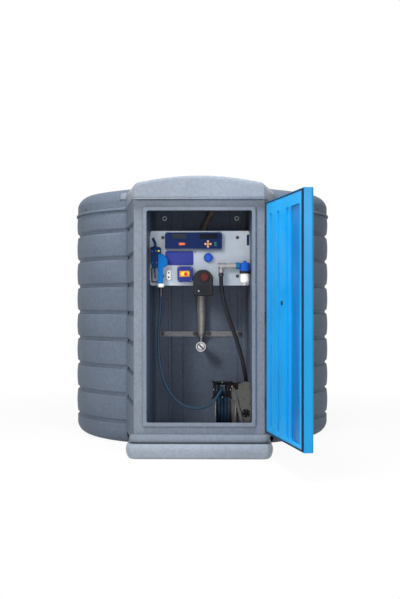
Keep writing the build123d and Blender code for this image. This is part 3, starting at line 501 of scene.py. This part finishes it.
def control_details():
    plates("left_window", [((-0.154, window_back, 1.642), 0.108, 0.036, 0.0016, 0.004, 0.0006)],
           screen_grey)
    plates("right_window", [((0.069, window_back, 1.639), 0.134, 0.034, 0.0016, 0.004, 0.0006)],
           screen_glass)
    key_x, key_z, key = 0.062, 1.582, 0.0135
    spots = [(key_x + 0.019, key_z), (key_x - 0.019, key_z), (key_x, key_z + 0.019), (key_x, key_z - 0.019)]
    plates("key_caps", [((x, key_face, z), key, key, 0.0012, 0.003, 0.0005) for x, z in spots],
           salmon)
    plates("key_centre", [((key_x, key_face, key_z), key, key, 0.0014, 0.003, 0.0005)], yellow)
    back = unit_face + 0.0003
    plates("green_marks", [((0.118, back, z), 0.016, 0.007, 0.0014, 0.002, 0.0005) for z in (1.590, 1.572)],
           green)
    plates("unit_outline", [((-0.047, back, 1.5425), 0.392, 0.0032, 0.0012, 0.0015, 0.0004),
                            ((-0.047, back, 1.6705), 0.392, 0.0020, 0.0008, 0.0009, 0.0003)],
           label_grey)
    screws("unit_screws", [(x, unit_face, z) for z in (1.546, 1.663) for x in (-0.252, 0.158)],
           0.0034, 0.0022, zinc)
    plates("small_squares", [((-0.036, plate_face, 1.5215), 0.014, 0.014, 0.004, 0.002, 0.0008),
                             ((-0.006, pump_face + 0.0003, 1.228), 0.010, 0.012, 0.002, 0.002, 0.0006)],
           label_grey)
    plates("oval_tag", [((0.3635, plate_face, 1.614), 0.018, 0.084, 0.004, 0.0085, 0.001)],
           panel_navy)


def isolator_details():
    knob_x, knob_z, knob_back = -0.110, 1.356, -1.491
    shape = bmesh.new()
    add_turned(shape, [(0, 0), (0.0205, 0), (0.0205, 0.008), (0.018, 0.010), (0, 0.010)],
               (knob_x, knob_back - 0.0004, knob_z), to_front, 36)
    add_plate(shape, (knob_x, knob_back - 0.008, knob_z), 0.064, 0.032, 0.018, 0.0155, 0.005)
    handle = finish_mesh("switch_handle", shape, yellow, body="switch")
    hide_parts("isolator_knob")
    turned("switch_boss", [(0, 0), (0.0145, 0), (0.0145, 0.004), (0.0125, 0.0065), (0, 0.0070)],
           [(-0.104, knob_back - 0.0258, knob_z)], to_front, 32, red, body="switch")
    plates("yellow_plate", [((-0.1125, knob_back + 0.0003, 1.357), 0.078, 0.046, 0.0028, 0.006, 0.0008)],
           amber)
    reach = 0.047
    screws("isolator_screws", [(knob_x + dx, -1.488, knob_z + dz) for dx in (-reach, reach) for dz in (-reach, reach)],
           0.0036, 0.0024, zinc)
    turned("socket_dots", [(0, 0), (0.0058, 0), (0.0058, 0.0006), (0, 0.0006)],
           [(-0.234, -1.4472, z) for z in (1.332, 1.366)], to_front, 20, seal_black)
    turned("gauge_lens", [(0, 0), (0.0268, 0), (0.0262, 0.0020), (0.020, 0.0052), (0.010, 0.0072), (0, 0.0078)],
           [(0.064, -1.4572, 1.480)], to_front, 40, lens_blue)


def pump_details():
    screws("pump_screws", [(x, pump_face, z) for z in (1.206, 1.296) for x in (-0.034, 0.086)],
           0.0045, 0.003, dark_bolt)
    turned("dial_ring", [(0.0315, 0), (0.0385, 0), (0.0385, 0.0030), (0.0360, 0.0052), (0.0325, 0.0052),
                         (0.0315, 0.0035), (0.0315, 0)],
           [(0.037, pump_face - 0.0002, 1.331)], to_front, 40, black_coat)


def pipe_details():
    pipe_z = 1.417
    turned("pipe_coupling", [(0, 0), (0.019, 0), (0.0250, 0.003), (0.0262, 0.008), (0.0262, 0.027),
                             (0.0250, 0.032), (0.019, 0.035), (0, 0.035)],
           [(0.268, line_y, pipe_z)], to_right, 32, teal)
    shape = bmesh.new()
    add_turned(shape, [(0, 0), (0.0215, 0), (0.0225, 0.002), (0.0225, 0.006), (0.0215, 0.008), (0, 0.008)],
               (0.141, line_y, pipe_z), to_right, 32)
    add_turned(shape, [(0, 0), (0.0205, 0), (0.0215, 0.0015), (0.0215, 0.0055), (0.0205, 0.007), (0, 0.007)],
               (0.186, line_y, pipe_z), to_right, 32)
    finish_mesh("pipe_rings", shape, stainless)
    bolts("filter_bolts", [(0.338 + x, line_y + y, 1.4395) for x, y in circle(4, 45, 0.026)],
          to_top, 0.0042, 0.006, zinc)
    turned("hose_ferrules", [(0.0152, 0), (0.0195, 0.001), (0.0200, 0.006), (0.0195, 0.020), (0.0165, 0.028),
                             (0.0152, 0.028), (0.0152, 0)],
           [(0.160, line_y, 1.338), (0.352, reel_y, 0.400)], to_top, 28, dark_bolt)


def nozzle_details():
    turned("white_collar", [(0.0140, 0.0), (0.0235, 0.0), (0.0250, 0.003), (0.0250, 0.022), (0.0235, 0.0262),
                            (0.0140, 0.0262), (0.0140, 0.0)],
           [(nozzle_x, line_y, 1.2566)], to_top, 36, white)
    turned("delivery_ferrule", [(0.0112, 0), (0.0150, 0.001), (0.0155, 0.005), (0.0150, 0.022), (0.0125, 0.030),
                                (0.0112, 0.030), (0.0112, 0)],
           [(nozzle_x, line_y, 1.186)], to_top, 28, dark_bolt)
    turned("nozzle_stud", [(0, 0), (0.008, 0), (0.008, 0.008), (0.0065, 0.012), (0, 0.0135)],
           [(-0.306, -1.5215, 1.528)], to_front, 24, yellow)
    spots = [(-0.356, 1.527), (-0.326, 1.527), (-0.356, 1.440), (-0.324, 1.440)]
    screws("nozzle_screws", [(x, nozzle_face, z) for x, z in spots], 0.0034, 0.0022, zinc)


def reel_details():
    rim = [(0.1755 + 0.0042 * math.cos(math.radians(a)), 0.0035 * math.sin(math.radians(a)))
           for a in range(0, 361, 30)]
    # Rolled rims on the reel flanges, in steel much lighter than the flanges as painted highlight
    for name, x in (("left_rim", 0.1185), ("right_rim", 0.2675)):
        turned(name, rim, [(x, reel_y, reel_z)], to_right, 72, rim_highlight_steel, body="reel")
    bolts("hub_bolts", [(0.3036, reel_y + y, reel_z + z) for y, z in circle(6, 30, 0.039)],
          to_right, 0.0050, 0.006, zinc)
    turned("guide_fitting", [(0, 0), (0.0075, 0), (0.0080, 0.003), (0.0080, 0.016), (0.0060, 0.019), (0, 0.019)],
           [(0.2405, -1.6115, 0.524)], to_front, 24, copper)
    spots = [(0.106, 0.500), (0.230, 0.500), (0.168, 0.446), (0.168, 0.554)]
    screws("guide_screws", [(x, guide_face, z) for x, z in spots], 0.0042, 0.0026, zinc)
    turned("guide_rollers", [(0, 0), (0.007, 0), (0.010, 0.003), (0.010, 0.087), (0.007, 0.090), (0, 0.090)],
           [(x, -1.604, 0.455) for x in (0.141, 0.197)], to_top, 24, guide_black)
    left_ear = [(0.100, 0.536), (0.128, 0.541), (0.124, 0.548), (0.106, 0.560)]
    right_ear = [(0.214, 0.520), (0.246, 0.517), (0.300, 0.553), (0.304, 0.560), (0.266, 0.551), (0.232, 0.538)]
    shape = bmesh.new()
    for outline in (left_ear, right_ear):
        add_prism(shape, outline, guide_face - 0.0035, guide_face + 0.0005)
    finish_mesh("guide_ears", shape, guide_black, angle=25)


# Front gusset of the reel stand, with its boss and bolts
def reel_gusset():
    face = -1.6057
    boss_x, boss_z = 0.343, 0.326
    outline = [(0.268, 0.500), (0.280, 0.524), (0.306, 0.544), (0.336, 0.560), (0.364, 0.556), (0.378, 0.540),
               (0.381, 0.500), (0.381, 0.330), (0.376, 0.270), (0.364, 0.240), (0.336, 0.240)]
    shape = bmesh.new()
    add_prism(shape, outline, face, -1.6000)
    finish_mesh("reel_gusset", shape, reel_steel, angle=25)
    turned("gusset_boss", [(0.0, 0), (0.031, 0), (0.031, 0.003), (0.027, 0.006), (0.018, 0.006), (0.016, 0.014),
                           (0.010, 0.017), (0, 0.017)],
           [(boss_x, face, boss_z)], to_front, 36, guide_black)
    shape = bmesh.new()
    for x, z in circle(5, 10, 0.0235):
        add_bolt(shape, (boss_x + x, -1.6112, boss_z + z), to_front, 0.0034, 0.005)
    for x, z in ((0.318, 0.534), (0.322, 0.436), (0.366, 0.520), (0.369, 0.400), (0.352, 0.258)):
        add_bolt(shape, (x, -1.6055, z), to_front, 0.0042, 0.005)
    finish_mesh("gusset_bolts", shape, dark_bolt)


# Small flat pad on the rim of the roof, left of the cabinet
def shoulder_pad():
    angle = math.atan2(-0.900, -0.622)
    outward = Vector((math.cos(angle), math.sin(angle), 0))
    side = Vector((-math.sin(angle), math.cos(angle), 0))
    facing = (outward + Vector((0, 0, 0.30))).normalized()
    centre = outward * 1.0985 + Vector((0, 0, 1.998))
    shape = bmesh.new()
    add_plate(shape, centre, 0.066, 0.060, 0.008, 0.006, 0.003, facing=facing, up=facing.cross(side))
    finish_mesh("shoulder_pad", shape, skin)


def coupling_details():
    x, z = 0.005, 0.800
    turned("coupling_rim", [(0.0300, 0), (0.0372, 0), (0.0384, 0.0012), (0.0372, 0.0024), (0.0312, 0.0024),
                            (0.0300, 0)], [(x, -1.2560, z)], to_front, 48, polished)
    # A dark diagonal bar on the coupling face, drawn as a cap handle, as painted dark reflection
    shape = bmesh.new()
    add_plate(shape, (x, -1.2415, z), 0.046, 0.010, 0.010, 0.004, 0.002, up=(0.7071, 0, 0.7071))
    finish_mesh("coupling_reflection_bar", shape, dark_bolt)
    shape = bmesh.new()
    add_bolt(shape, (-0.026, wall_pipe_y, clamp_z), to_left, 0.006, 0.008)
    add_bolt(shape, (0.036, wall_pipe_y, clamp_z), to_right, 0.006, 0.008)
    finish_mesh("clamp_bolts", shape, dark_bolt)


# Door pieces are drawn closed and then swung open
hinge_x = 0.487
door_axis = Vector((hinge_x, -1.699, 0.0))
door_swing = Matrix.Translation(door_axis) @ Matrix.Rotation(math.radians(101), 4, "Z") @ Matrix.Translation(-door_axis)


def finish_door_mesh(name, shape, material, angle=35.0):
    bmesh.ops.transform(shape, matrix=door_swing, verts=shape.verts[:])
    return finish_mesh(name, shape, material, body="door", angle=angle)


def add_ring(shape, outer, inner, low, high, face_low, face_high, round_by):
    # A rectangular ring in the plane of the closed door with a rounded crest
    crest = face_high - round_by
    corners = [(outer, face_low, 0), (outer, crest, 0), (outer, face_high, 1), (inner, face_high, -1),
               (inner, crest, 0), (inner, face_low, 0)]
    outlines = []
    for half, y, tuck in corners:
        reach = half - tuck * round_by * 0.5
        drop = half - outer - tuck * round_by * 0.5
        outlines.append([(-reach, y, low - drop), (reach, y, low - drop), (reach, y, high + drop),
                         (-reach, y, high + drop)])
    add_loft(shape, outlines, "loop")


def door_pieces():
    shape = bmesh.new()
    add_ring(shape, 0.474, 0.4655, 0.198, 1.870, -1.707, -1.694, 0.003)
    gasket = finish_door_mesh("door_gasket", shape, seal_black, angle=60)
    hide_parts("door_seal")
    shape = bmesh.new()
    add_ring(shape, 0.4655, 0.4572, 0.2065, 1.8615, -1.707, -1.698, 0.002)
    finish_door_mesh("door_border", shape, door_blue, angle=60)
    # Thin darker-blue sheets on the recess floors of the lining, by their distance from the hinge, as painted shade
    recesses = [(0.148, 0.056, recess_shade_blue), (0.364, 0.060, recess_shade_blue), (0.606, 0.080, recess_shade_blue), (0.796, 0.226, recess_deep_shade_blue)]
    for index, (distance, width, material) in enumerate(recesses):
        shape = bmesh.new()
        radius = min(0.020, 0.45 * width) - 0.001
        add_plate(shape, (hinge_x - distance, -1.7050, 1.0085), width - 0.002, 1.545, 0.0006, radius, 0.0002,
                  facing=to_back)
        finish_door_mesh("recess_shade_sheet_%d" % (index + 1), shape, material)


# Bent steel pipes on the back wall with a shallow corrugation
def bent_pipe(name, stations, ribs, material, replaced):
    # stations holds (x, z, radius) from one end to the other
    last = len(stations) - 1
    inward = Vector(to_back)
    count = ribs * 4
    outlines = []
    for index in range(count + 1):
        share = index / count * last
        low = min(int(share), last - 1)
        part = share - low
        near, far = Vector(stations[low]), Vector(stations[low + 1])
        x, z, radius = near.lerp(far, part)
        before = Vector(stations[max(low - 1, 0)]) if part < 0.5 else near
        after = far if part < 0.5 else Vector(stations[min(low + 2, last)])
        along = Vector((after.x - before.x, 0, after.y - before.y)).normalized()
        side = along.cross(inward).normalized()
        swell = radius + 0.0011 * math.cos(math.pi * index / 2)
        outlines.append([Vector((x, wall_pipe_y, z)) + side * a + inward * b for a, b in circle(36, 0, swell)])
    shape = bmesh.new()
    add_loft(shape, outlines)
    piece = finish_mesh(name, shape, material, angle=70)
    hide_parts(replaced)


def pipes():
    bent_pipe("fill_sleeve", [(0.005, 1.300, 0.0375), (0.004, 1.200, 0.0375), (0.006, 1.100, 0.0345),
                              (0.009, 1.000, 0.0305), (0.007, 0.890, 0.0262)], 40, pipe_steel, "fill_pipe")
    bent_pipe("riser_hose", [(0.108, 1.888, 0.0275), (0.086, 1.850, 0.0270), (0.060, 1.805, 0.0255),
                             (0.034, 1.755, 0.0235), (0.014, 1.700, 0.0220), (0.006, 1.640, 0.0215),
                             (0.005, 1.290, 0.0215)], 60, riser_steel, "riser_pipe")


# Back wall of the cabinet with one broad shallow recess, in the darker liner skin as painted shade
def back_panel():
    half, front, back = 0.328, -1.0, -0.974
    outline = [(-half, front), (-0.262, front), (-0.258, front + 0.006), (-0.234, front + 0.006), (-0.230, front),
               (-0.150, front), (-0.138, front + 0.008), (0.226, front + 0.008), (0.240, front),
               (0.292, front), (0.298, front + 0.004), (half, front + 0.004), (half, back), (-half, back)]
    shape = bmesh.new()
    add_upright(shape, outline, 0.150, 1.880)
    panel = finish_mesh("back_panel", shape, liner_shaded_skin, angle=20)
    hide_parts("liner_back")


def plan_path(half, front, back, radius):
    # From the back left corner round the front to the back right corner
    steps = 8
    points = [(-half, back)]
    for start, x in ((180, -half + radius), (270, half - radius)):
        for index in range(steps + 1):
            angle = math.radians(start + 90 * index / steps)
            points.append((x + radius * math.cos(angle), front + radius + radius * math.sin(angle)))
    points.append((half, back))
    return points


# Plinth and step swept round the front of the cabinet with soft shoulders; the foot takes a lighter skin as painted
# highlight and the step the darker frame skin as painted shade
def plinth_sweep():
    foot = [(0.150, 0.0), (0.034, 0.0), (0.022, 0.006), (0.010, 0.024), (0.003, 0.048), (0.0, 0.074),
            (0.002, 0.090), (0.007, 0.102), (0.016, 0.110), (0.030, 0.112), (0.046, 0.112), (0.060, 0.112)]
    step = [(0.060, 0.111), (0.048, 0.112), (0.048, 0.119), (0.034, 0.121), (0.025, 0.127), (0.0225, 0.138),
            (0.024, 0.150), (0.030, 0.163), (0.041, 0.173), (0.054, 0.179), (0.080, 0.180)]
    for name, profile, material in (("plinth_foot", foot, plinth_lit_skin), ("plinth_step", step, frame_shaded_skin)):
        outlines = []
        for inset, z in profile:
            path = plan_path(0.540 - inset, -1.735 + inset, -0.955, max(0.070 - inset * 0.6, 0.012))
            outlines.append([(x, y, z) for x, y in path])
        shape = bmesh.new()
        add_loft(shape, outlines, "sheet")
        piece = finish_mesh(name, shape, material, angle=50)
        if name == "plinth_foot":
            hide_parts("cabinet_plinth")


# Skirts under the sides of the cabinet, down to the plinth, in the darker wall skin as painted shade
def side_skirts():
    outline = [(0.4865, -1.652), (0.5985, -0.950), (0.560, -0.950), (0.452, -1.652)]
    shape = bmesh.new()
    for side in (-1, 1):
        add_upright(shape, [(side * x, y) for x, y in outline], 0.113, 0.180)
    finish_mesh("side_skirts", shape, wall_shaded_skin, angle=30)


# Rounded bead along the lip of the doorway, in a lighter skin as painted highlight
def doorway_bead():
    def place(across, up, off):
        return across, -1.6815 + off, 1.039 + up

    shape = bmesh.new()
    add_roll(shape, rounded_outline(0.790, 1.572, 0.020), 0.0085, place, closed=True)
    finish_mesh("doorway_bead", shape, lip_highlight_skin, angle=60)


# Rolled lower edge of the hood, in a lighter skin as painted highlight
def hood_lip():
    def place(x, y, off):
        return x, y, 1.9065 + off

    path = [(-0.484, -1.46), (-0.4795, -1.66), (-0.474, -1.700), (-0.462, -1.7065), (0.462, -1.7065),
            (0.474, -1.700), (0.4795, -1.66), (0.484, -1.46)]
    shape = bmesh.new()
    add_roll(shape, path, 0.0075, place, closed=False)
    finish_mesh("hood_lip", shape, lip_highlight_skin, angle=60)


door_pieces()
plinth_sweep()
side_skirts()
doorway_bead()
hood_lip()
back_panel()
pipes()
reel_gusset()
fasteners()
control_details()
isolator_details()
pump_details()
pipe_details()
nozzle_details()
reel_details()
shoulder_pad()
coupling_details()


# Floor, world and lamps
def seen_or_mirrored(tree):
    # One for rays from the camera and from glossy surfaces, nought for the rest
    path = tree.nodes.new("ShaderNodeLightPath")
    either = tree.nodes.new("ShaderNodeMath")
    either.operation = "MAXIMUM"
    tree.links.new(path.outputs["Is Camera Ray"], either.inputs[0])
    tree.links.new(path.outputs["Is Glossy Ray"], either.inputs[1])
    return either.outputs[0]


def plain_floor():
    # White to the camera, a little darker near the part, and grey to the light that bounces off it
    half = 40.0
    drop = 0.0005
    data = bpy.data.meshes.new("floor")
    corners = [(-half, -half, 0), (half, -half, 0), (half, half, 0), (-half, half, 0)]
    data.from_pydata([Vector(corner) for corner in corners], [], [(0, 1, 2, 3)])
    floor = bpy.data.objects.new("floor", data)
    floor.location.z = -drop
    scene.collection.objects.link(floor)
    material, tree, shader = new_material("floor_white")
    shader.inputs["Base Color"].default_value = (0.80, 0.80, 0.80, 1)
    shader.inputs["Roughness"].default_value = 0.9
    shader.inputs["Specular IOR Level"].default_value = 0.0
    glow = tree.nodes.new("ShaderNodeEmission")
    glow.inputs["Strength"].default_value = 1.0
    coords = tree.nodes.new("ShaderNodeTexCoord")
    distance = tree.nodes.new("ShaderNodeVectorMath")
    distance.operation = "LENGTH"
    fade = tree.nodes.new("ShaderNodeMapRange")
    fade.inputs["From Min"].default_value = 1.6
    fade.inputs["From Max"].default_value = 4.5
    fade.inputs["To Min"].default_value = 0.93
    fade.inputs["To Max"].default_value = 1.0
    scale = tree.nodes.new("ShaderNodeMath")
    scale.operation = "MULTIPLY"
    mix = tree.nodes.new("ShaderNodeMixShader")
    tree.links.new(coords.outputs["Object"], distance.inputs[0])
    tree.links.new(distance.outputs["Value"], fade.inputs["Value"])
    tree.links.new(seen_or_mirrored(tree), scale.inputs[0])
    tree.links.new(fade.outputs["Result"], scale.inputs[1])
    tree.links.new(scale.outputs[0], mix.inputs["Fac"])
    tree.links.new(shader.outputs["BSDF"], mix.inputs[1])
    tree.links.new(glow.outputs["Emission"], mix.inputs[2])
    tree.links.new(mix.outputs["Shader"], tree.nodes["Material Output"].inputs["Surface"])
    data.materials.append(material)


def studio_world():
    world = bpy.data.worlds.new("studio")
    scene.world = world
    world.use_nodes = True
    tree = world.node_tree
    tree.nodes.clear()
    out = tree.nodes.new("ShaderNodeOutputWorld")
    fill = tree.nodes.new("ShaderNodeBackground")
    fill.inputs["Color"].default_value = (0.93, 0.96, 1.0, 1)
    fill.inputs["Strength"].default_value = 0.22
    backdrop = tree.nodes.new("ShaderNodeBackground")
    backdrop.inputs["Color"].default_value = (1, 1, 1, 1)
    backdrop.inputs["Strength"].default_value = 1.0
    mix = tree.nodes.new("ShaderNodeMixShader")
    tree.links.new(seen_or_mirrored(tree), mix.inputs["Fac"])
    tree.links.new(fill.outputs["Background"], mix.inputs[1])
    tree.links.new(backdrop.outputs["Background"], mix.inputs[2])
    tree.links.new(mix.outputs["Shader"], out.inputs["Surface"])


def lamp(name, place, target, size, power, glossy=True):
    data = bpy.data.lights.new(name, "AREA")
    data.shape = "RECTANGLE"
    data.size, data.size_y = size
    data.energy = power
    item = bpy.data.objects.new(name, data)
    item.location = place
    item.rotation_euler = (Vector(target) - Vector(place)).to_track_quat("-Z", "Y").to_euler()
    item.visible_glossy = glossy
    scene.collection.objects.link(item)


plain_floor()
studio_world()
lamp("key", (-2.2, -5.8, 3.3), (0.0, -1.6, 1.1), (1.2, 1.2), 150, glossy=False)
lamp("low_fill", (0.3, -8.6, 0.7), (0.0, -1.6, 1.4), (1.6, 1.0), 48, glossy=False)
lamp("top", (-0.2, -3.1, 5.6), (0.0, -1.5, 1.4), (1.6, 1.2), 300, glossy=False)
lamp("side", (-5.0, -4.6, 2.2), (0.5, -1.9, 1.1), (1.6, 2.6), 22)
lamp("right", (2.4, -5.6, 2.1), (0.2, -1.4, 1.2), (0.7, 1.2), 40)
